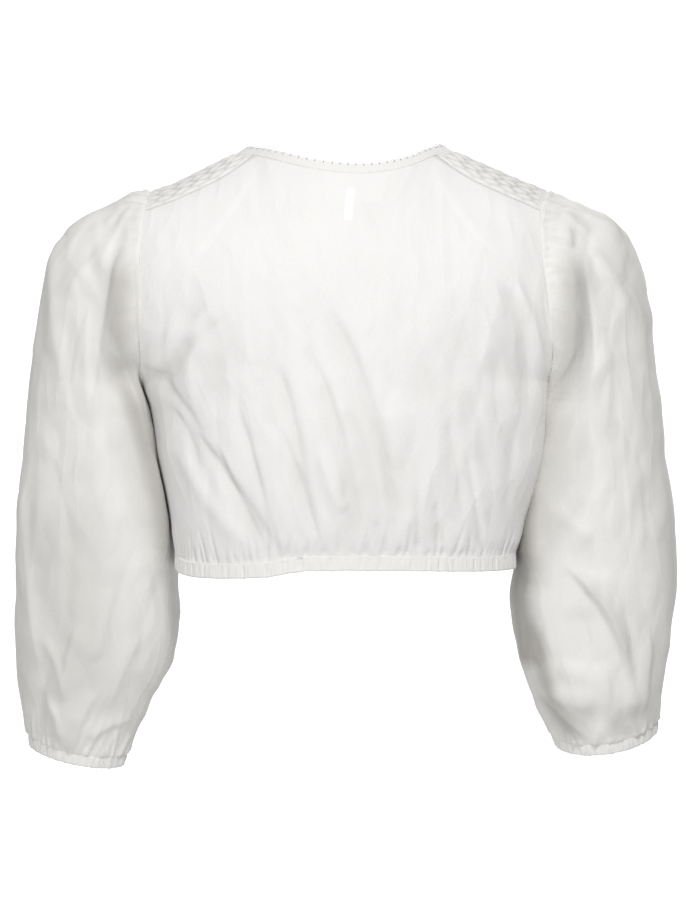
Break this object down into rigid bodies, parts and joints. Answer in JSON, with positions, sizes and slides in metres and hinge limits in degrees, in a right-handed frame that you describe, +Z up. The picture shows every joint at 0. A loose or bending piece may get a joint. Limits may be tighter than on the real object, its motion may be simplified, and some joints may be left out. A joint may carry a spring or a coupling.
{
  "type": "dirndl blouse",
  "caption": "Short white cotton dirndl blouse, filled out with no wearer: smocked shoulders, picot neckline, gathered balloon sleeves with elastic cuffs and an elastic hem.",
  "frame": {"origin": "between the shoulders, inside the hollow of the blouse, at the middle of the shoulders' height, where the wearer carries it", "axes": "+X towards the wearer's right sleeve, +Y towards the wearer's front, +Z up; the back faces -Y"},
  "size_m": [0.615, 0.2444, 0.5752],
  "materials": {
    "cloth": "thin matt cotton batiste",
    "smocking": "honeycomb-smocked cotton",
    "band": "folded cotton casing over elastic",
    "picot": "cotton picot edging",
    "label": "smooth white ribbon, blank"
  },
  "bodies": {
    "root": {"back": "cloth", "front": "cloth", "shoulder_left": "smocking", "shoulder_right": "smocking", "sleeve_left": "cloth", "sleeve_right": "cloth", "cuff_left": "band", "cuff_right": "band", "hem_casing": "band", "neck_binding": "band", "neck_picot": "picot", "neck_label": "label", "care_tag": "label"}
  },
  "joints": []
}
